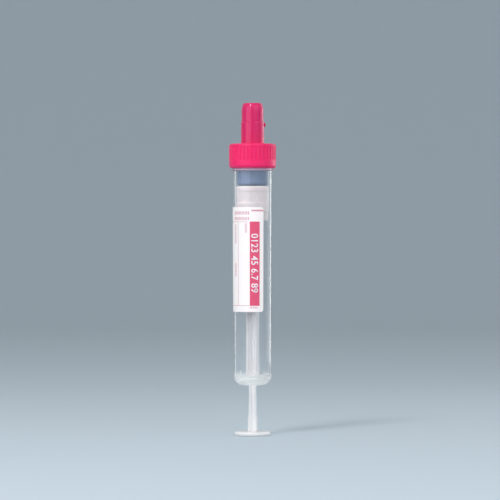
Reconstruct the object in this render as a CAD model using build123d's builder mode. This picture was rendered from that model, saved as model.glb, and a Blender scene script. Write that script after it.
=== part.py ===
"""Blood collection tube of the piston type, for drawing like a syringe.

Units are millimetres. The tube stands upright on the thumb disc of its rod: the origin is the
centre of the disc's underside and +Z runs up the axis of the tube. Bearings are degrees round
the tube from its front (-Y), positive towards the right (+X).
"""

import os
from math import cos, radians, sin

from build123d import *

# Clearances. Radial ones are on the radius.
SLIDE_GAP = 0.03  # piston lips in the bore
ROD_GAP = 0.2  # rod in the hole of the base
LATCH_GAP = 0.15  # piston skirt inside the latch fins
SOCKET_GAP = 0.25  # rod neck and snap head in the piston
THREAD_GAP = 0.15  # thread crest to the wall it faces
THREAD_PLAY = 0.1  # between the loaded flanks, along the axis
STEM_GAP = 0.1  # stopper stem in the nozzle
SEAT_GAP = 0.05  # between flat faces that seat on each other
REST_GAP = 0.4  # piston below the stopper, and above the collar at the end of its stroke
GLUE_GAP = 0.03  # adhesive under the label

# Thumb disc and rod
DISC_R = 7.0
DISC_T = 1.5
DISC_EDGE = 0.45
ROD_R = 2.75  # ribs of the strong part, inside the tube
ROD_RIB_T = 0.85
ROD_TURN = 32.0  # how far the ribs are turned from the tube's front
RIB_CROSSING = 90.0  # angle between the two ribs
ROOT_R = 1.97  # ribs just above the disc
ROOT_H = 5.7
STEM_R_LOW = 1.7  # slim part outside the tube, at its lower end
STEM_R_HIGH = 1.4  # and where it enters the tube
ROD_STICKOUT = 18.0  # from the disc to the base of the tube
NOTCH_R = 0.9  # break-off notch
NOTCH_H = 1.6
NOTCH_BELOW = 0.9  # below the base when the piston is drawn right back
THRUST_T = 0.8  # round plate that pushes the piston
SNAP_NECK_R = 1.6
SNAP_HEAD_OVER = 0.7  # head radius over neck radius
SNAP_HEAD_H = 1.8

# Barrel
BARREL_LEN = 91.5
BORE_R = 6.5
WALL_BASE = 0.82  # the outside is drafted, so the wall grows towards the neck
WALL_TOP = 1.15
BASE_CORNER = 4.0
FLOOR_T = 1.5
COLLAR_WALL = 1.0
COLLAR_H = 1.3
LATCH_FIN_COUNT = 8
LATCH_W = 0.6
LATCH_DEPTH = 0.4
LATCH_H = 4.6  # from the floor to the top of the fins
BEAD_OUT = 0.2  # bead under the screw cap
BEAD_H = 0.8
NECK_WALL = 0.85
NECK_LEN = 7.7
RIM_ROUND = 0.3
BORE_LEAD = 0.35

# Screw thread of the neck and the cap, right-handed
PITCH = 3.0
THREAD_TURNS = 1.25
THREAD_DEPTH = 0.55
THREAD_ROOT_W = 1.2
THREAD_CREST_W = 0.5
THREAD_SINK = 0.2  # how deep the ridge is let into its wall
NECK_THREAD_BELOW_RIM = 5.4  # start of the ridge, from the rim

# Screw cap: ring and nozzle
RING_WALL = 1.05
RING_TOP_T = 1.15
RING_GAP = 0.3  # ring above the barrel's bead
RING_TOP_ROUND = 1.0
RING_FOOT_IN = 0.7  # how far the rounded foot of the ring draws in
RING_FOOT_H = 1.3
GRIP_GROOVE_COUNT = 36
GRIP_GROOVE_R = 0.45
GRIP_GROOVE_DEPTH = 0.33
GRIP_BAND = 3.1  # smooth band below the grooves
GRIP_TOP = 0.95  # smooth edge above them
NOZZLE_R = 4.5
NOZZLE_TIP_R = 4.27
NOZZLE_LEN = 15.75
NOZZLE_STEP = 8.15  # height of the step above the ring
NOZZLE_ROUND_H = 2.8
NOZZLE_TOP_R = 3.4
NOZZLE_EDGE = 0.35
PORT_R = 2.2
PORT_LEN = 2.5
NOZZLE_BORE_R = 2.9
LUG_R = 0.8
LUG_OUT = 0.5
LUG_EDGE = 0.25

# Rubber stopper
FLANGE_T = 0.8
PLUG_R = 6.0
PLUG_LEN = 14.05  # below the rim of the barrel
PLUG_EDGE = 1.1
SEAL_R = 6.42
SEAL_H = 2.6
STEM_LEN_GAP = 0.1  # top of the stem below the port
MEMBRANE_T = 2.0
CHANNEL_R = 1.25
DISH_R = 3.6
DISH_DEPTH = 1.4

# Piston
PISTON_LEN = 13.3
LIP_H = 1.5
LIP_EDGE = 0.3
LIP_SLOPE = 0.8
WAIST_R = 6.3
GUIDE_Z = 5.4  # underside of the guide band, from the piston's foot
GUIDE_H = 1.2
SKIRT_OVER = 0.2  # straight skirt above the latch fins, when the piston is drawn right back
SKIRT_SLOPE = 0.5
SKIRT_WALL = 1.25
PISTON_ROOF_T = 2.2
BOSS_FOOT = 1.0  # boss above the piston's foot
SOCKET_LIP_T = 1.2
SOCKET_WALL = 0.85
SOCKET_ROOF_T = 3.4
SOCKET_SLOT_W = 0.8
SOCKET_SLOT_H = 4.0

# Label and what is printed on it
LABEL_T = 0.1
LABEL_DROP = 15.1  # from the cap to the top of the label
LABEL_H = 40.45
LABEL_RIGHT = 33.0  # bearing of the right edge
LABEL_WRAP = 220.0
LABEL_CORNER = 1.0
PRINT_T = 0.03
BAND_LEFT = -8.2
BAND_RIGHT = 20.7
BAND_DROP = 5.6  # from the top of the label
BAND_H = 32.5
NUMBER = "0123 45 6.7 89"
DIGIT_DROP = 4.7  # from the top of the band
DIGIT_ADVANCE = 1.65
DIGIT_W = 1.2
DIGIT_STROKE = 0.34  # breadth of a stroke
DIGIT_LEFT = -4.0  # bearing of the digits' feet
DIGIT_RIGHT = 16.0  # and of their heads
RULE_T = 0.16  # thin printed lines
RULE_ARC = 1.1  # width of the upright line, in degrees
RULE_BEARING = -46.5  # its left edge
RULE_STOP = -12.6  # end of the upper line
PRINT_MARGIN = 8.0  # bare paper at the label's left edge, in degrees
DASH_DROP = 1.05
DASH_T = 0.62
DASH_LEFT = -3.3
DASH_MARGIN = 0.8  # bare paper at its right end, in degrees
HEAD_ROW_COUNT = 2
HEAD_TICK_COUNT = 11
HEAD_DROP = 1.65  # from the top of the label to the first row of ticks
HEAD_ROW_PITCH = 2.17
HEAD_TICK_H = 1.25
HEAD_TICK_PITCH = 4.9
HEAD_TICK_W = 2.4
HEAD_LEFT = -62.0
FOOT_ROW_DROP = 0.35  # from the foot of the band to the ticks under it
FOOT_TICK_H = 0.6
CAPTION_TICK_PITCH = 0.75
CAPTION_TICK_H = 0.36
CAPTION_ARC = 6.5  # height of the small print, in degrees
CAPTIONS = ((-61.0, 1.2, 7.5), (-61.0, 16.2, 5.4), (-23.0, 0.8, 3.8))  # left edge, drop, length

# Heights along the axis
BASE_Z = DISC_T + ROD_STICKOUT
FLOOR_Z = BASE_Z + FLOOR_T
COLLAR_Z = FLOOR_Z + COLLAR_H
CORNER_Z = BASE_Z + BASE_CORNER
RIM_Z = BASE_Z + BARREL_LEN
NECK_Z = RIM_Z - NECK_LEN
RING_Z = NECK_Z + RING_GAP
CAP_WALL_Z = RIM_Z + FLANGE_T + 2 * SEAT_GAP
RING_TOP_Z = CAP_WALL_Z + RING_TOP_T
TIP_Z = RING_TOP_Z + NOZZLE_LEN
PORT_Z = TIP_Z - PORT_LEN
PLUG_Z = RIM_Z - PLUG_LEN
PISTON_TOP_Z = PLUG_Z - REST_GAP
PISTON_Z = PISTON_TOP_Z - PISTON_LEN
STROKE = PISTON_Z - COLLAR_Z - REST_GAP
NOTCH_Z = BASE_Z + STROKE - NOTCH_BELOW
LABEL_TOP_Z = RING_Z - LABEL_DROP
BAND_TOP_Z = LABEL_TOP_Z - BAND_DROP
BAND_FOOT_Z = BAND_TOP_Z - BAND_H

# Radii that follow from the walls and the fits
BARREL_R_BASE = BORE_R + WALL_BASE
BARREL_R_TOP = BORE_R + WALL_TOP
NECK_R = BORE_R + NECK_WALL
HOLE_R = ROD_R + ROD_GAP
COLLAR_R = HOLE_R + COLLAR_WALL
LIP_R = BORE_R - SLIDE_GAP
SKIRT_R = BORE_R - LATCH_DEPTH - LATCH_GAP
NECK_CREST_R = NECK_R + THREAD_DEPTH
CAP_BORE_R = NECK_CREST_R + THREAD_GAP
RING_R = CAP_BORE_R + RING_WALL
SNAP_HEAD_R = SNAP_NECK_R + SNAP_HEAD_OVER
SOCKET_R = SNAP_HEAD_R + SOCKET_GAP
BOSS_R = SOCKET_R + SOCKET_WALL


def upright_plane(bearing):
    """Plane through the axis: its x runs outwards at this bearing and its y runs up."""
    turn = radians(bearing)
    return Plane(origin=(0, 0, 0), x_dir=(sin(turn), -cos(turn), 0), z_dir=(-cos(turn), -sin(turn), 0))


def wall_r(z):
    """Outer radius of the drafted barrel wall at a height."""
    rise = (z - CORNER_Z) / (NECK_Z - CORNER_Z)
    return BARREL_R_BASE + (BARREL_R_TOP - BARREL_R_BASE) * rise


def wrapped_field(left, right, foot, top, lift, thickness):
    """A thin field that follows the barrel wall between two bearings and two heights."""
    with BuildPart() as field:
        with BuildSketch(upright_plane(left)):
            with BuildLine():
                Polyline(
                    (wall_r(foot) + lift, foot),
                    (wall_r(foot) + lift + thickness, foot),
                    (wall_r(top) + lift + thickness, top),
                    (wall_r(top) + lift, top),
                    close=True,
                )
            make_face()
        revolve(axis=Axis.Z, revolution_arc=right - left)
    return field.part


def thread_ridge(root_r, crest_r, start_z):
    """One winding of a right-handed ridge that stands on a wall of radius root_r."""
    outwards = 1 if crest_r > root_r else -1
    sunk_r = root_r - outwards * THREAD_SINK
    widening = (THREAD_ROOT_W - THREAD_CREST_W) / THREAD_DEPTH
    sunk_w = THREAD_ROOT_W + widening * THREAD_SINK
    with BuildPart() as ridge:
        with BuildLine():
            Helix(PITCH, PITCH * THREAD_TURNS, root_r, center=(0, 0, start_z))
        with BuildSketch(Plane.XZ):
            with BuildLine():
                Polyline(
                    (sunk_r, start_z - sunk_w / 2),
                    (crest_r, start_z - THREAD_CREST_W / 2),
                    (crest_r, start_z + THREAD_CREST_W / 2),
                    (sunk_r, start_z + sunk_w / 2),
                    close=True,
                )
            make_face()
        sweep(is_frenet=True)
    return ridge.part


# --- barrel: clear tube with a rounded, pierced base and a threaded neck -----------------------

NECK_THREAD_Z = RIM_Z - NECK_THREAD_BELOW_RIM
CORNER_IN = BASE_CORNER - FLOOR_T
CORNER_MID = sin(radians(45))

with BuildPart() as barrel:
    with BuildSketch(Plane.XZ):
        with BuildLine():
            Line((HOLE_R, BASE_Z), (BARREL_R_BASE - BASE_CORNER, BASE_Z))
            TangentArc(
                (BARREL_R_BASE - BASE_CORNER, BASE_Z),
                (BARREL_R_BASE, CORNER_Z),
                tangent=(1, 0),
            )
            Polyline(
                (BARREL_R_BASE, CORNER_Z),
                (BARREL_R_TOP, NECK_Z - BEAD_H),
            )
            ThreePointArc(
                (BARREL_R_TOP, NECK_Z - BEAD_H),
                (BARREL_R_TOP + BEAD_OUT, NECK_Z - BEAD_H / 2),
                (BARREL_R_TOP, NECK_Z),
            )
            Polyline(
                (BARREL_R_TOP, NECK_Z),
                (NECK_R, NECK_Z),
                (NECK_R, RIM_Z - RIM_ROUND),
                (NECK_R - RIM_ROUND, RIM_Z),
                (BORE_R + BORE_LEAD, RIM_Z),
                (BORE_R, RIM_Z - BORE_LEAD),
                (BORE_R, CORNER_Z),
            )
            TangentArc((BORE_R, CORNER_Z), (BORE_R - CORNER_IN, FLOOR_Z), tangent=(0, -1))
            Polyline(
                (BORE_R - CORNER_IN, FLOOR_Z),
                (COLLAR_R, FLOOR_Z),
                (COLLAR_R, COLLAR_Z),
                (HOLE_R, COLLAR_Z),
                (HOLE_R, BASE_Z),
            )
        make_face()
    revolve(axis=Axis.Z)
    # latch fins that grip the skirt of the piston when it is drawn right back
    fin_root_r = (BORE_R + BARREL_R_BASE) / 2
    fin_crest_r = BORE_R - LATCH_DEPTH
    with BuildSketch(Plane.XY.offset(FLOOR_Z + CORNER_IN / 2)):
        with PolarLocations((fin_root_r + fin_crest_r) / 2, LATCH_FIN_COUNT):
            Rectangle(fin_root_r - fin_crest_r, LATCH_W)
    extrude(amount=LATCH_H - CORNER_IN / 2)
    add(thread_ridge(NECK_R, NECK_CREST_R, NECK_THREAD_Z))
barrel.part.label = "barrel"

# --- label and its print -----------------------------------------------------------------------

LABEL_OUT = GLUE_GAP + LABEL_T
LABEL_FOOT_Z = LABEL_TOP_Z - LABEL_H
LABEL_LEFT = LABEL_RIGHT - LABEL_WRAP

with BuildPart() as label:
    add(wrapped_field(LABEL_LEFT, LABEL_RIGHT, LABEL_FOOT_Z, LABEL_TOP_Z, GLUE_GAP, LABEL_T))
    short_edges = label.edges().filter_by(lambda edge: edge.length < 2 * LABEL_T)
    fillet(short_edges, radius=LABEL_CORNER)
label.part.label = "label"

with BuildPart() as label_band:
    add(wrapped_field(BAND_LEFT, BAND_RIGHT, BAND_FOOT_Z, BAND_TOP_Z, LABEL_OUT, PRINT_T))
label_band.part.label = "label_band"

# Strokes of the digits: t, c and b run across at the head, the centre and the foot; u and l run
# down the right side, above and below the centre, and n and m down the left side; p is a point
DIGIT_STROKES = {
    "0": "tulbmn",
    "1": "ul",
    "2": "tucmb",
    "3": "tuclb",
    "4": "nucl",
    "5": "tnclb",
    "6": "tnclbm",
    "7": "tul",
    "8": "tulbmnc",
    "9": "tulbnc",
    ".": "p",
}


def digit_strokes(character, top_z):
    """Fields for one digit that lies on its side, its head to the right."""
    middle = (DIGIT_LEFT + DIGIT_RIGHT) / 2
    across = DIGIT_STROKE / radians(1) / wall_r(top_z)
    foot_z = top_z - DIGIT_W
    boxes = {
        "t": (DIGIT_RIGHT - across, DIGIT_RIGHT, foot_z, top_z),
        "c": (middle - across / 2, middle + across / 2, foot_z, top_z),
        "b": (DIGIT_LEFT, DIGIT_LEFT + across, foot_z, top_z),
        "u": (middle, DIGIT_RIGHT, foot_z, foot_z + DIGIT_STROKE),
        "l": (DIGIT_LEFT, middle, foot_z, foot_z + DIGIT_STROKE),
        "n": (middle, DIGIT_RIGHT, top_z - DIGIT_STROKE, top_z),
        "m": (DIGIT_LEFT, middle, top_z - DIGIT_STROKE, top_z),
        "p": (DIGIT_LEFT, DIGIT_LEFT + across, top_z - DIGIT_STROKE, top_z),
    }
    return [boxes[stroke] for stroke in DIGIT_STROKES[character]]


with BuildPart() as label_digits:
    for place, character in enumerate(NUMBER):
        if character == " ":
            continue
        for box in digit_strokes(character, BAND_TOP_Z - DIGIT_DROP - place * DIGIT_ADVANCE):
            add(wrapped_field(*box, LABEL_OUT + PRINT_T, PRINT_T))
label_digits.part.label = "label_digits"


def caption_ticks():
    """Columns of short ticks, as lines of small print look from a step away."""
    fields = []
    for left, drop, length in CAPTIONS:
        for tick in range(round(length / CAPTION_TICK_PITCH)):
            top_z = BAND_TOP_Z - drop - tick * CAPTION_TICK_PITCH
            fields.append((left, left + CAPTION_ARC, top_z - CAPTION_TICK_H, top_z))
    return fields


def ruled_lines():
    """The frame round the writing space, and the dash above the band."""
    start = LABEL_LEFT + PRINT_MARGIN
    dash_z = LABEL_TOP_Z - DASH_DROP
    return [
        (start, RULE_STOP, BAND_TOP_Z - RULE_T, BAND_TOP_Z),
        (start, BAND_LEFT - RULE_ARC, BAND_FOOT_Z, BAND_FOOT_Z + RULE_T),
        (RULE_BEARING, RULE_BEARING + RULE_ARC, BAND_FOOT_Z + 2 * RULE_T, BAND_TOP_Z - 2 * RULE_T),
        (DASH_LEFT, LABEL_RIGHT - DASH_MARGIN, dash_z - DASH_T, dash_z),
    ]


def heading_ticks():
    """Rows of upright ticks in the corner above the ruled part."""
    fields = []
    for row in range(HEAD_ROW_COUNT):
        top_z = LABEL_TOP_Z - HEAD_DROP - row * HEAD_ROW_PITCH
        for tick in range(HEAD_TICK_COUNT):
            left = HEAD_LEFT + tick * HEAD_TICK_PITCH
            fields.append((left, left + HEAD_TICK_W, top_z - HEAD_TICK_H, top_z))
    return fields


def foot_ticks():
    """A row of ticks under the band, as many as its breadth takes."""
    top_z = BAND_FOOT_Z - FOOT_ROW_DROP
    fields = []
    for tick in range(int((BAND_RIGHT - BAND_LEFT) / HEAD_TICK_PITCH)):
        left = BAND_LEFT + tick * HEAD_TICK_PITCH
        fields.append((left, left + HEAD_TICK_W, top_z - FOOT_TICK_H, top_z))
    return fields


with BuildPart() as label_lines:
    for box in ruled_lines() + heading_ticks() + caption_ticks() + foot_ticks():
        add(wrapped_field(*box, LABEL_OUT, PRINT_T))
label_lines.part.label = "label_lines"

# --- screw cap: grip ring and needle nozzle in one moulding --------------------------------------

CAP_THREAD_DROP = (
    THREAD_CREST_W
    + (THREAD_DEPTH - THREAD_GAP) * (THREAD_ROOT_W - THREAD_CREST_W) / (2 * THREAD_DEPTH)
    + THREAD_PLAY
)
CAP_CREST_R = CAP_BORE_R - THREAD_DEPTH
STEP_Z = RING_TOP_Z + NOZZLE_STEP

with BuildPart() as screw_cap:
    with BuildSketch(Plane.XZ):
        with BuildLine():
            Line((CAP_BORE_R, RING_Z), (RING_R - RING_FOOT_IN, RING_Z))
            TangentArc(
                (RING_R, RING_Z + RING_FOOT_H),
                (RING_R - RING_FOOT_IN, RING_Z),
                tangent=(0, -1),
            )
            Line((RING_R, RING_Z + RING_FOOT_H), (RING_R, RING_TOP_Z - RING_TOP_ROUND))
            TangentArc(
                (RING_R, RING_TOP_Z - RING_TOP_ROUND),
                (RING_R - RING_TOP_ROUND, RING_TOP_Z),
                tangent=(0, 1),
            )
            Polyline(
                (RING_R - RING_TOP_ROUND, RING_TOP_Z),
                (NOZZLE_R, RING_TOP_Z),
                (NOZZLE_R, STEP_Z),
                (NOZZLE_TIP_R, STEP_Z + NOZZLE_R - NOZZLE_TIP_R),
                (NOZZLE_TIP_R, TIP_Z - NOZZLE_ROUND_H),
            )
            TangentArc(
                (NOZZLE_TIP_R, TIP_Z - NOZZLE_ROUND_H),
                (NOZZLE_TOP_R, TIP_Z),
                tangent=(0, 1),
            )
            Polyline(
                (NOZZLE_TOP_R, TIP_Z),
                (PORT_R + NOZZLE_EDGE, TIP_Z),
                (PORT_R, TIP_Z - NOZZLE_EDGE),
                (PORT_R, PORT_Z),
                (NOZZLE_BORE_R, PORT_Z),
                (NOZZLE_BORE_R, CAP_WALL_Z),
                (CAP_BORE_R, CAP_WALL_Z),
                (CAP_BORE_R, RING_Z),
            )
        make_face()
    revolve(axis=Axis.Z)
    tip_edge = screw_cap.edges().group_by(Axis.Z)[-1].sort_by(SortBy.RADIUS)[-1]
    fillet(tip_edge, radius=NOZZLE_EDGE)
    with BuildSketch(Plane.XY.offset(RING_Z + GRIP_BAND)):
        with PolarLocations(RING_R + GRIP_GROOVE_R - GRIP_GROOVE_DEPTH, GRIP_GROOVE_COUNT):
            Circle(GRIP_GROOVE_R)
    extrude(amount=RING_TOP_Z - GRIP_TOP - RING_Z - GRIP_BAND, mode=Mode.SUBTRACT)
    # lug at the step of the nozzle, for the needle holder
    with BuildSketch(Plane.YZ.offset(NOZZLE_BORE_R + STEM_GAP)):
        with Locations((0, STEP_Z - LUG_R)):
            Circle(LUG_R)
    extrude(amount=NOZZLE_R + LUG_OUT - NOZZLE_BORE_R - STEM_GAP)
    lug_edge = screw_cap.edges().filter_by(GeomType.CIRCLE).sort_by(Axis.X)[-1]
    fillet(lug_edge, radius=LUG_EDGE)
    add(thread_ridge(CAP_BORE_R, CAP_CREST_R, NECK_THREAD_Z - CAP_THREAD_DROP))
screw_cap.part.label = "screw_cap"

# --- stopper: rubber plug, flange and pierceable stem ---------------------------------------------

FLANGE_R = CAP_BORE_R - THREAD_GAP
FLANGE_Z = RIM_Z + SEAT_GAP
STEM_TOP_Z = PORT_Z - STEM_LEN_GAP

with BuildPart() as stopper:
    with BuildSketch(Plane.XZ):
        with BuildLine():
            Polyline(
                (0, STEM_TOP_Z),
                (NOZZLE_BORE_R - STEM_GAP, STEM_TOP_Z),
                (NOZZLE_BORE_R - STEM_GAP, FLANGE_Z + FLANGE_T),
                (FLANGE_R, FLANGE_Z + FLANGE_T),
                (FLANGE_R, FLANGE_Z),
                (SEAL_R, FLANGE_Z),
                (SEAL_R, FLANGE_Z - SEAL_H),
                (PLUG_R, FLANGE_Z - SEAL_H - SEAL_R + PLUG_R),
                (PLUG_R, PLUG_Z + PLUG_EDGE),
            )
            TangentArc((PLUG_R, PLUG_Z + PLUG_EDGE), (PLUG_R - PLUG_EDGE, PLUG_Z), tangent=(0, -1))
            Line((PLUG_R - PLUG_EDGE, PLUG_Z), (DISH_R, PLUG_Z))
            TangentArc((CHANNEL_R, PLUG_Z + DISH_DEPTH), (DISH_R, PLUG_Z), tangent=(1, 0))
            Polyline(
                (CHANNEL_R, PLUG_Z + DISH_DEPTH),
                (CHANNEL_R, STEM_TOP_Z - MEMBRANE_T),
                (0, STEM_TOP_Z - MEMBRANE_T),
                (0, STEM_TOP_Z),
            )
        make_face()
    revolve(axis=Axis.Z)
stopper.part.label = "stopper"

# --- piston: two lips, a skirt and a slotted socket for the rod -----------------------------------

ROOF_Z = PISTON_TOP_Z - PISTON_ROOF_T
BOSS_Z = PISTON_Z + BOSS_FOOT
SOCKET_Z = BOSS_Z + SOCKET_LIP_T
GUIDE_FOOT_Z = PISTON_Z + GUIDE_Z
GUIDE_TOP_Z = GUIDE_FOOT_Z + GUIDE_H
LIP_FOOT_Z = PISTON_TOP_Z - LIP_H
SKIRT_TOP_Z = PISTON_Z + LATCH_H - COLLAR_H - REST_GAP + SKIRT_OVER

with BuildPart() as piston:
    with BuildSketch(Plane.XZ):
        with BuildLine():
            Polyline(
                (0, PISTON_TOP_Z),
                (LIP_R - LIP_EDGE, PISTON_TOP_Z),
                (LIP_R, PISTON_TOP_Z - LIP_EDGE),
                (LIP_R, LIP_FOOT_Z),
                (WAIST_R, LIP_FOOT_Z - LIP_SLOPE),
                (WAIST_R, GUIDE_TOP_Z + LIP_SLOPE),
                (LIP_R, GUIDE_TOP_Z),
                (LIP_R, GUIDE_FOOT_Z),
                (WAIST_R, GUIDE_FOOT_Z - LIP_SLOPE),
                (WAIST_R, SKIRT_TOP_Z + SKIRT_SLOPE),
                (SKIRT_R, SKIRT_TOP_Z),
                (SKIRT_R, PISTON_Z),
                (SKIRT_R - SKIRT_WALL, PISTON_Z),
                (SKIRT_R - SKIRT_WALL, ROOF_Z),
                (BOSS_R, ROOF_Z),
                (BOSS_R, BOSS_Z),
                (SNAP_NECK_R + SOCKET_GAP, BOSS_Z),
                (SNAP_NECK_R + SOCKET_GAP, SOCKET_Z),
                (SOCKET_R, SOCKET_Z),
                (SOCKET_R, PISTON_TOP_Z - SOCKET_ROOF_T),
                (0, PISTON_TOP_Z - SOCKET_ROOF_T),
                close=True,
            )
        make_face()
    revolve(axis=Axis.Z)
    with BuildSketch(Plane.XY.offset(BOSS_Z)):
        Rectangle(2 * BOSS_R + SOCKET_GAP, SOCKET_SLOT_W)
        Rectangle(SOCKET_SLOT_W, 2 * BOSS_R + SOCKET_GAP)
    extrude(amount=SOCKET_SLOT_H, mode=Mode.SUBTRACT)
piston.part.label = "piston"

# --- plunger rod: thumb disc, slim stem, strong cross section, break-off notch and snap head -------

THRUST_TOP_Z = BOSS_Z - SOCKET_GAP
THRUST_Z = THRUST_TOP_Z - THRUST_T
HEAD_Z = SOCKET_Z + SOCKET_GAP
ROOT_TOP_Z = DISC_T + ROOT_H

with BuildPart() as plunger_rod:
    with BuildSketch(Plane.XY):
        Circle(DISC_R)
    extrude(amount=DISC_T)
    fillet(plunger_rod.edges().filter_by(GeomType.CIRCLE), radius=DISC_EDGE)
    for rib_turn in (ROD_TURN, ROD_TURN + RIB_CROSSING):
        with BuildSketch(upright_plane(rib_turn)):
            with BuildLine():
                rib_edge = Polyline(
                    (0, DISC_T / 2),
                    (ROOT_R, DISC_T / 2),
                    (ROOT_R, ROOT_TOP_Z),
                    (STEM_R_LOW, ROOT_TOP_Z + ROOT_R - STEM_R_LOW),
                    (STEM_R_HIGH, BASE_Z),
                    (STEM_R_HIGH, COLLAR_Z),
                    (ROD_R, COLLAR_Z + ROD_R - STEM_R_HIGH),
                    (ROD_R, NOTCH_Z - NOTCH_H / 2),
                    (NOTCH_R, NOTCH_Z),
                    (ROD_R, NOTCH_Z + NOTCH_H / 2),
                    (ROD_R, THRUST_Z),
                    (0, THRUST_Z),
                )
                mirror(rib_edge, about=Plane.YZ)
            make_face()
        extrude(amount=ROD_RIB_T / 2, both=True)
    with BuildSketch(Plane.XZ):
        with BuildLine():
            Polyline(
                (0, THRUST_Z),
                (ROD_R, THRUST_Z),
                (ROD_R, THRUST_TOP_Z),
                (SNAP_NECK_R, THRUST_TOP_Z),
                (SNAP_NECK_R, HEAD_Z),
                (SNAP_HEAD_R, HEAD_Z),
                (SNAP_HEAD_R, HEAD_Z + SNAP_HEAD_H / 3),
                (SNAP_NECK_R, HEAD_Z + SNAP_HEAD_H),
                (0, HEAD_Z + SNAP_HEAD_H),
                close=True,
            )
        make_face()
    revolve(axis=Axis.Z)
plunger_rod.part.label = "plunger_rod"

# --- one STEP file for each piece ------------------------------------------------------------------

os.makedirs("parts", exist_ok=True)
export_step(barrel.part, "parts/barrel.step")
export_step(label.part, "parts/label.step")
export_step(label_band.part, "parts/label_band.step")
export_step(label_digits.part, "parts/label_digits.step")
export_step(label_lines.part, "parts/label_lines.step")
export_step(screw_cap.part, "parts/screw_cap.step")
export_step(stopper.part, "parts/stopper.step")
export_step(piston.part, "parts/piston.step")
export_step(plunger_rod.part, "parts/plunger_rod.step")
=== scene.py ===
"""Finish, light and camera for the blood collection tube. Lengths are in metres."""

from math import asin, cos, hypot, pi, radians, sin

import bmesh
import bpy
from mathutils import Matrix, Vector


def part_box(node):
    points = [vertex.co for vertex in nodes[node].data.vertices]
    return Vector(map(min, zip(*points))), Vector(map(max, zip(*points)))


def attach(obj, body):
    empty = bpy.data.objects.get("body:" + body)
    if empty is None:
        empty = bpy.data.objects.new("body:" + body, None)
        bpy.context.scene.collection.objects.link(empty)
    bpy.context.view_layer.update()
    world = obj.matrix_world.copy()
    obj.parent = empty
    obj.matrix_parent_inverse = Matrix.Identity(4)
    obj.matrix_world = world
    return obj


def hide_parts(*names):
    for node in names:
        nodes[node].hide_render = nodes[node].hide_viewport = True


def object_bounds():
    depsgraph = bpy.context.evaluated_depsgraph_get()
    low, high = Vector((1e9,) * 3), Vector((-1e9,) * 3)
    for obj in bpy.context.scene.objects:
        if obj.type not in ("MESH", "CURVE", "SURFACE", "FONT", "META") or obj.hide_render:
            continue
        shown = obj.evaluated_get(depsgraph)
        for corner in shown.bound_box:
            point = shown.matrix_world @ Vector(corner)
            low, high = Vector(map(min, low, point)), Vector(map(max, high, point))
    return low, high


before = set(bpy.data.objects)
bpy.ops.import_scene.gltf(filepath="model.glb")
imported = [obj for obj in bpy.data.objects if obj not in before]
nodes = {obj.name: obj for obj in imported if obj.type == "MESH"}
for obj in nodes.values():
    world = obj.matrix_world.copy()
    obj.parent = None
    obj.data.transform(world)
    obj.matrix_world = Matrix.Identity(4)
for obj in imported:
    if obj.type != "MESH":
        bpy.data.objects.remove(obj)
cad_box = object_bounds()
MM = 0.001


# --- node helpers --------------------------------------------------------------------------------


# Places of the Mix node's colour sockets, whose names its other sockets share.
MIX_FIRST, MIX_SECOND, MIX_RESULT = 6, 7, 2


class Finish:
    """A node material with one Principled shader, and short ways to add nodes to it."""

    def __init__(self, name, **constants):
        self.material = bpy.data.materials.new(name)
        self.material.use_nodes = True
        self.tree = self.material.node_tree
        self.shader = self.tree.nodes["Principled BSDF"]
        self.place = self.tree.nodes.new("ShaderNodeTexCoord").outputs["Object"]
        for socket, value in constants.items():
            self.shader.inputs[socket.replace("_", " ")].default_value = value

    def node(self, kind, inputs, **settings):
        """Adds a node. An input is linked where it is a socket, and otherwise set."""
        made = self.tree.nodes.new(kind)
        for name, value in settings.items():
            setattr(made, name, value)
        for name, value in inputs.items():
            if isinstance(value, bpy.types.NodeSocket):
                self.tree.links.new(value, made.inputs[name])
            else:
                made.inputs[name].default_value = value
        return made

    def stretched(self, x, y, z):
        """Object coordinates with each axis scaled, for streaks and bands."""
        return self.node("ShaderNodeMapping", {"Vector": self.place, "Scale": (x, y, z)}).outputs["Vector"]

    def noise(self, scale, detail=2.0, place=None):
        inputs = {"Vector": place or self.place, "Scale": scale, "Detail": detail}
        return self.node("ShaderNodeTexNoise", inputs).outputs["Fac"]

    def height(self):
        """How far up the tube a point is."""
        return self.node("ShaderNodeSeparateXYZ", {"Vector": self.place}).outputs["Z"]

    def from_axis(self):
        """How far out from the tube's axis a point is."""
        flat = self.stretched(1, 1, 0)
        return self.node("ShaderNodeVectorMath", {0: flat}, operation="LENGTH").outputs["Value"]

    def spread(self, value, low, high, start=0.3, end=0.7):
        """Low where a value is start, high where it is end. The defaults suit noise."""
        inputs = {"Value": value, "From Min": start, "From Max": end, "To Min": low, "To Max": high}
        return self.node("ShaderNodeMapRange", inputs).outputs["Result"]

    def math(self, operation, *values):
        return self.node("ShaderNodeMath", dict(enumerate(values)), operation=operation).outputs[0]

    def blend(self, factor, first, second):
        """Colour that goes from first to second as the factor goes from 0 to 1."""
        ends = [(*end, 1.0) if isinstance(end, tuple) else end for end in (first, second)]
        inputs = {"Factor": factor, MIX_FIRST: ends[0], MIX_SECOND: ends[1]}
        return self.node("ShaderNodeMix", inputs, data_type="RGBA").outputs[MIX_RESULT]

    def bump(self, height, depth, under=None):
        """Normal with relief of a depth in metres, on top of another normal if one is given."""
        inputs = {"Height": height, "Distance": depth}
        if under is not None:
            inputs["Normal"] = under
        return self.node("ShaderNodeBump", inputs).outputs["Normal"]

    def drive(self, **sources):
        """Links node sockets to the shader's inputs of these names."""
        for socket, source in sources.items():
            self.tree.links.new(source, self.shader.inputs[socket.replace("_", " ")])

    def put_on(self, mesh):
        mesh.materials.clear()
        mesh.materials.append(self.material)


# --- mesh helper ---------------------------------------------------------------------------------


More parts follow.
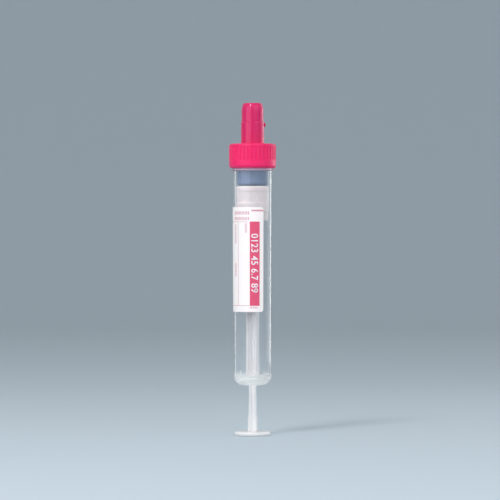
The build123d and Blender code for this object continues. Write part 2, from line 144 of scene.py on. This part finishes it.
def put_in_order(work):
    """Sorts a bmesh by place, because some operators leave its parts in another order each run."""
    for rank, vertex in enumerate(sorted(work.verts, key=lambda vertex: vertex.co.to_tuple())):
        vertex.index = rank
    work.verts.sort()
    for parts in (work.edges, work.faces):
        ranked = sorted(parts, key=lambda part: sorted(vertex.index for vertex in part.verts))
        for rank, part in enumerate(ranked):
            part.index = rank
        parts.sort()


# --- finishes ------------------------------------------------------------------------------------


BASE_HAZE_H = 0.0055  # how far up from its foot the barrel's base is hazy
BASE_EDGE_H = 0.0036  # the haze is palest, a painted glow, up to a quarter of this, and dim from this up
BEAD_HAZE_AND_PINK_UP = 0.0004  # middle of the haze and its painted pink reflection on the bead, above the bead's crest
BEAD_HAZE_AND_PINK_H = 0.0006  # how far the haze and the painted pink reach from there, up and down
# painted glow: the foot of the base is painted paler than the rest of its haze
HAZE_WITH_PAINTED_GLOW = (1.0, 0.99, 0.97)
DIM_HAZE = (0.66, 0.66, 0.655)
BEAD_PAINTED_PINK = (1.0, 0.5, 0.75)  # painted reflection of the pink cap above it


def bead_height():
    """Height of the bead's crest: where the barrel is widest below the cap."""
    cap_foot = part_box("screw_cap")[0].z
    below = [vertex.co for vertex in nodes["barrel"].data.vertices if vertex.co.z < cap_foot]
    return max(below, key=lambda p: hypot(p.x, p.y)).z


BEYOND_NOZZLE = 0.7  # of the cap's radius


def ring_top():
    """Height of the cap's ring: the highest point that is farther out than the nozzle."""
    reach = BEYOND_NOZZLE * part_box("screw_cap")[1].x
    points = [vertex.co for vertex in nodes["screw_cap"].data.vertices]
    return max(p.z for p in points if hypot(p.x, p.y) > reach)


def clear_plastic():
    """Polished clear moulding with fine scuffs along it, hazy in its base and on its bead. The base's
    foot has a painted glow, and the bead a painted pink reflection of the cap.
    """
    finish = Finish("clear_plastic", IOR=1.49, Specular_Tint=(0.4, 0.4, 0.4, 1.0))
    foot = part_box("barrel")[0].z
    rising = finish.spread(finish.height(), 0.0, 1.0, foot, foot + BASE_HAZE_H)
    off_painted_glow = finish.spread(finish.height(), 0.0, 1.0, foot + BASE_EDGE_H / 4, foot + BASE_EDGE_H)
    over_bead = finish.math("SUBTRACT", finish.height(), bead_height() + BEAD_HAZE_AND_PINK_UP)
    off_bead = finish.spread(finish.math("ABSOLUTE", over_bead), 0.0, 1.0, 0.0, BEAD_HAZE_AND_PINK_H)
    clear = finish.blend(finish.noise(180, 3), (0.9, 0.93, 0.95), (0.97, 0.98, 0.99))
    # The palest haze at the base's foot is painted glow.
    body = finish.blend(rising, finish.blend(off_painted_glow, HAZE_WITH_PAINTED_GLOW, DIM_HAZE), clear)
    # The pink on the bead is a painted reflection of the cap.
    finish.drive(Base_Color=finish.blend(off_bead, BEAD_PAINTED_PINK, body))
    # How much light the wall lets through, and how much of it the haze on the bead holds back.
    passing = finish.spread(rising, 0.18, 0.95, 0.0, 1.0)
    held = finish.spread(off_bead, -0.75, 0.0, 0.0, 1.0)
    finish.drive(Transmission_Weight=finish.math("ADD", passing, held))
    scuffs = finish.noise(1400, 3, finish.stretched(1, 1, 0.02))
    polish = finish.spread(scuffs, 0.015, 0.04)
    frost = finish.spread(rising, 0.55, 0.0, 0.0, 1.0)
    finish.drive(Roughness=finish.math("ADD", polish, frost))
    return finish


def cap_plastic():
    """Magenta moulded polyethylene: satin, a little light goes in, fine spark-eroded grain."""
    finish = Finish(
        "cap_plastic",
        IOR=1.51,
        Specular_IOR_Level=0.42,
        Specular_Tint=(1.0, 0.6, 0.76, 1.0),
        Subsurface_Weight=0.25,
        Subsurface_Radius=(1.0, 0.25, 0.4),
        Subsurface_Scale=0.0016,
    )
    cloud = finish.noise(220, 3)
    # The cap's colour, and a darker copy of it on the nozzle: the nozzle's darker colour is painted shade.
    cap_colour = finish.blend(cloud, (0.82, 0.016, 0.13), (0.89, 0.023, 0.153))
    thin = finish.blend(cloud, (0.6, 0.018, 0.115), (0.66, 0.024, 0.135))
    nozzle_foot = ring_top()
    upper = finish.spread(finish.height(), 0.0, 1.0, nozzle_foot - MM, nozzle_foot + MM)
    finish.drive(Base_Color=finish.blend(upper, cap_colour, thin))
    grain = finish.noise(5200, 2)
    smoother = finish.spread(upper, 0.0, -0.24, 0.0, 1.0)
    finish.drive(Roughness=finish.math("ADD", finish.spread(grain, 0.34, 0.48), smoother))
    flow = finish.bump(finish.noise(420, 2, finish.stretched(1, 1, 0.3)), 0.000015)
    finish.drive(Normal=finish.bump(grain, 0.000004, flow))
    return finish


def stopper_rubber():
    """Grey rubber, smooth and slightly cloudy. Its blue tint is painted reflection of a blue surround."""
    finish = Finish(
        "stopper_rubber",
        IOR=1.52,
        Specular_IOR_Level=0.25,
        Subsurface_Weight=0.3,
        Subsurface_Radius=(0.8, 0.9, 1.0),
        Subsurface_Scale=0.001,
    )
    cloud = finish.noise(300, 4)
    # The blue in these colours is painted reflection; the rubber itself is grey.
    finish.drive(Base_Color=finish.blend(cloud, (0.085, 0.14, 0.25), (0.115, 0.175, 0.3)))
    finish.drive(Roughness=finish.spread(finish.noise(900, 3), 0.4, 0.58))
    finish.drive(Normal=finish.bump(finish.noise(3600, 3), 0.00001))
    return finish


LIT_GROOVE_R = 0.0007  # this close to the axis, milky plastic takes its third colour, painted light in the shaded grooves between the rod's ribs
LIT_GROOVE_END_R = 0.002  # and from this far out none of it


def milky_plastic(name, low, high, lit_groove, reach, depth):
    """Natural polypropylene, milky to a depth. Its colour goes from low at the disc to high at the
    height reach, which on the rod is painted shade where the barrel covers it, or to the third colour near
    the axis, painted light in the shaded grooves between the rod's ribs."""
    finish = Finish(
        name,
        IOR=1.49,
        Specular_IOR_Level=0.2,
        Subsurface_Weight=0.9,
        Subsurface_Radius=(1.0, 0.97, 1.0),
        Subsurface_Scale=depth,
    )
    rising = finish.spread(finish.height(), 0.0, 1.0, 0.0, reach)
    cloud = finish.spread(finish.noise(240, 4), -0.06, 0.06)
    off_lit_groove = finish.spread(finish.from_axis(), 0.0, 1.0, LIT_GROOVE_R, LIT_GROOVE_END_R)
    # Near the axis the colour is painted light in the grooves; up in the barrel, on the rod, it is painted
    # shade.
    upper = finish.blend(off_lit_groove, lit_groove, high)
    finish.drive(Base_Color=finish.blend(finish.math("ADD", rising, cloud), low, upper))
    finish.drive(Roughness=finish.spread(finish.noise(1500, 3), 0.26, 0.42))
    flow = finish.bump(finish.noise(500, 2, finish.stretched(1, 1, 0.2)), 0.000012)
    finish.drive(Normal=finish.bump(finish.noise(4200, 2), 0.000005, flow))
    return finish


def label_paper():
    """Coated label paper: white, satin, with a faint fibre cloud."""
    finish = Finish("label_paper", IOR=1.5, Subsurface_Weight=0.15, Subsurface_Scale=0.0003)
    fibres = finish.noise(2600, 5, finish.stretched(1, 1, 0.35))
    finish.drive(Base_Color=finish.blend(fibres, (0.935, 0.84, 0.83), (0.975, 0.88, 0.87)))
    finish.drive(Roughness=finish.spread(fibres, 0.42, 0.56))
    finish.drive(Normal=finish.bump(fibres, 0.000008))
    return finish


def print_ink(name, thin, full):
    """Printed ink: its density mottles a little, and the paper's fibres show through."""
    finish = Finish(name, IOR=1.5)
    mottle = finish.noise(1900, 5)
    finish.drive(Base_Color=finish.blend(mottle, full, thin))
    finish.drive(Roughness=finish.spread(mottle, 0.36, 0.5))
    finish.drive(Normal=finish.bump(finish.noise(2600, 5), 0.000005))
    return finish


# --- the number on the band ----------------------------------------------------------------------

NUMBER = "0123 45 6.7 89"
BOLDER = 0.012  # what is added round each figure, in its own units
SPACING = 1.05  # of the typeface's own spacing
CUTS_ACROSS = 16  # so that the figures can follow the curve of the tube


def flat_number():
    """The number as a flat mesh, head up, from a built-in typeface."""
    text = bpy.data.curves.new("number", "FONT")
    text.body = NUMBER
    text.offset = BOLDER
    text.space_character = SPACING
    holder = bpy.data.objects.new("number", text)
    bpy.context.scene.collection.objects.link(holder)
    bpy.context.view_layer.update()
    mesh = bpy.data.meshes.new_from_object(holder.evaluated_get(bpy.context.evaluated_depsgraph_get()))
    bpy.data.objects.remove(holder)
    return mesh


def ring_radius(node, height):
    """Radius of a node's tapering outer surface at a height, from the radii at its ends."""
    low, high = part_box(node)
    points = [vertex.co for vertex in nodes[node].data.vertices]
    middle = (low.z + high.z) / 2
    foot = max(hypot(p.x, p.y) for p in points if p.z < middle and p.z < low.z + MM)
    head = max(hypot(p.x, p.y) for p in points if p.z > middle and p.z > high.z - MM)
    return foot + (head - foot) * (height - low.z) / (high.z - low.z)


def printed_number():
    """Wraps the flat number round the tube, over the field that it stands for."""
    low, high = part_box("label_digits")
    lift = ring_radius("label_digits", high.z) - ring_radius("label_band", high.z)
    left = asin(low.x / ring_radius("label_digits", high.z))
    right = asin(high.x / ring_radius("label_digits", low.z))
    mesh = flat_number()
    work = bmesh.new()
    work.from_mesh(mesh)
    xs = [v.co.x for v in work.verts]
    ys = [v.co.y for v in work.verts]
    start, length, foot, rise = min(xs), max(xs) - min(xs), min(ys), max(ys) - min(ys)
    for cut in range(1, CUTS_ACROSS):
        parts = work.verts[:] + work.edges[:] + work.faces[:]
        level = foot + rise * cut / CUTS_ACROSS
        bmesh.ops.bisect_plane(work, geom=parts, plane_co=(0, level, 0), plane_no=(0, 1, 0))
    bmesh.ops.solidify(work, geom=work.faces[:], thickness=lift / 2)
    for vertex in work.verts:
        along = (vertex.co.x - start) / length
        across = (vertex.co.y - foot) / rise
        height = high.z - along * (high.z - low.z)
        bearing = left + across * (right - left)
        radius = ring_radius("label_band", height) + lift / 2 + vertex.co.z
        vertex.co = (radius * sin(bearing), -radius * cos(bearing), height)
    put_in_order(work)
    bmesh.ops.recalc_face_normals(work, faces=work.faces[:])
    work.to_mesh(mesh)
    work.free()
    number = bpy.data.objects.new("printed_number", mesh)
    bpy.context.scene.collection.objects.link(number)
    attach(number, "barrel")
    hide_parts("label_digits")
    return number


# --- studio --------------------------------------------------------------------------------------

TABLE_R = 1.25
SWEEP_R = 1.3
WALL_H = 1.5
SWEEP_STEPS = 32
TURN_STEPS = 96
WELD = 1e-5  # joins the ends of the turn, and the floor's middle


def studio_floor():
    """A pale floor that sweeps up into a round wall, so that no horizon shows from any side."""
    profile = [(0.0, 0.0), (TABLE_R, 0.0)]
    for step in range(1, SWEEP_STEPS + 1):
        turn = pi / 2 * step / SWEEP_STEPS
        profile.append((TABLE_R + SWEEP_R * sin(turn), SWEEP_R * (1 - cos(turn))))
    profile.append((TABLE_R + SWEEP_R, WALL_H))
    work = bmesh.new()
    points = [work.verts.new((r, 0, z)) for r, z in profile]
    edges = [work.edges.new(pair) for pair in zip(points, points[1:])]
    whole_turn = {"cent": (0, 0, 0), "axis": (0, 0, 1), "angle": 2 * pi, "steps": TURN_STEPS}
    bmesh.ops.spin(work, geom=points + edges, **whole_turn)
    bmesh.ops.remove_doubles(work, verts=work.verts[:], dist=WELD)
    put_in_order(work)
    bmesh.ops.recalc_face_normals(work, faces=work.faces[:])
    mesh = bpy.data.meshes.new("studio_floor")
    work.to_mesh(mesh)
    work.free()
    mesh.polygons.foreach_set("use_smooth", [True] * len(mesh.polygons))
    floor = bpy.data.objects.new("studio_floor", mesh)
    bpy.context.scene.collection.objects.link(floor)
    finish = Finish("studio_floor", Base_Color=(0.48, 0.57, 0.64, 1.0), Roughness=0.95)
    finish.put_on(mesh)


# Each light's bearing from the front, its height and distance, its breadth and rise, and its power.
SOFT_BOXES = {
    "key": (-44, 0.38, 1.0, 1.1, 0.62, 4.6),
    "fill": (38, 0.5, 0.9, 1.0, 0.7, 3.3),
    "top": (-30, 0.88, 0.7, 0.2, 0.26, 3.6),
}
PANELS = {  # they stand on the floor and give the wall of the tube its bright lines
    "side": (112, 0.35, 0.6, 0.5, 0.7, 0.28),
    "edge": (135, 0.35, 0.6, 0.07, 0.7, 0.115),
    "rim_left": (-136, 0.3, 0.6, 0.1, 0.6, 0.014),
    "rim_right": (152, 0.3, 0.6, 0.09, 0.6, 0.015),
}
PANEL_SPREAD = radians(70)
SKY_COLOUR = (1.0, 0.97, 0.95, 1.0)
SKY_STRENGTH = 0.6


def studio_light(middle):
    """Soft boxes and panels round the tube, and an even sky. The panels' narrow spread keeps their
    light off the floor."""
    world = bpy.data.worlds.new("soft_sky")
    world.use_nodes = True
    sky = world.node_tree.nodes["Background"].inputs
    sky["Color"].default_value = SKY_COLOUR
    sky["Strength"].default_value = SKY_STRENGTH
    bpy.context.scene.world = world
    for name, (bearing, height, distance, breadth, rise, power) in (SOFT_BOXES | PANELS).items():
        light = bpy.data.lights.new(name, "AREA")
        light.shape = "RECTANGLE"
        light.size, light.size_y = breadth, rise
        light.energy = power
        holder = bpy.data.objects.new(name, light)
        turn = radians(bearing)
        place = Vector((distance * sin(turn), -distance * cos(turn), height))
        aim = middle if name in SOFT_BOXES else Vector((0.0, 0.0, height))
        holder.location = place
        holder.rotation_euler = (aim - place).to_track_quat("-Z", "Y").to_euler()
        bpy.context.scene.collection.objects.link(holder)
        holder.visible_camera = False
        holder.visible_transmission = name.startswith("rim")  # the rest don't show through the wall
        if name in PANELS:
            light.spread = PANEL_SPREAD


CAMERA_DISTANCE = 1.1
CAMERA_HEIGHT = 0.0776
PICTURE_HEIGHT = 0.1939  # what the square picture takes in at the tube
PICTURE_MIDDLE = Vector((-0.001, 0.0, 0.0719))  # point at the tube in the middle of the picture
SENSOR_MM = 36.0


def studio_camera():
    """The photo's view: square to the front, from about the middle of the tube."""
    camera = bpy.data.cameras.new("camera")
    camera.sensor_width = SENSOR_MM
    camera.lens = SENSOR_MM * CAMERA_DISTANCE / PICTURE_HEIGHT
    holder = bpy.data.objects.new("camera", camera)
    holder.location = (PICTURE_MIDDLE.x, -CAMERA_DISTANCE, CAMERA_HEIGHT)
    look = PICTURE_MIDDLE - holder.location
    holder.rotation_euler = look.to_track_quat("-Z", "Y").to_euler()
    bpy.context.scene.collection.objects.link(holder)
    bpy.context.scene.camera = holder


# --- make the scene ------------------------------------------------------------------------------


def dress():
    """Puts a finish on every node, and the number over the plainer one of the solids."""
    number = printed_number()
    piston_colours = (0.74, 0.65, 0.65), (0.665, 0.585, 0.59), (0.665, 0.585, 0.59)
    # The rod's second colour is painted shade where the barrel covers it, and its third is painted light
    # in the grooves between its ribs.
    rod_colours = (0.88, 0.865, 0.88), (0.555, 0.52, 0.53), (0.755, 0.715, 0.72)
    finishes = {
        "barrel": clear_plastic(),
        "screw_cap": cap_plastic(),
        "stopper": stopper_rubber(),
        "piston": milky_plastic("piston_plastic", *piston_colours, reach=0.1, depth=0.003),
        "plunger_rod": milky_plastic("rod_plastic", *rod_colours, reach=0.022, depth=0.007),
        "label": label_paper(),
        "label_band": print_ink("band_ink", (0.78, 0.1, 0.2), (0.7, 0.06, 0.15)),
        "label_digits": print_ink("digit_ink", (0.96, 0.93, 0.95), (0.9, 0.86, 0.89)),
        "label_lines": print_ink("line_ink", (0.74, 0.38, 0.45), (0.58, 0.24, 0.32)),
    }
    for node, finish in finishes.items():
        finish.put_on(nodes[node].data)
    finishes["label_digits"].put_on(number.data)
    nodes["barrel"].visible_shadow = False  # clear: the lamps reach the pieces inside


studio_camera()
dress()
studio_floor()
studio_light((cad_box[0] + cad_box[1]) / 2)
bpy.context.scene.view_settings.view_transform = "Standard"
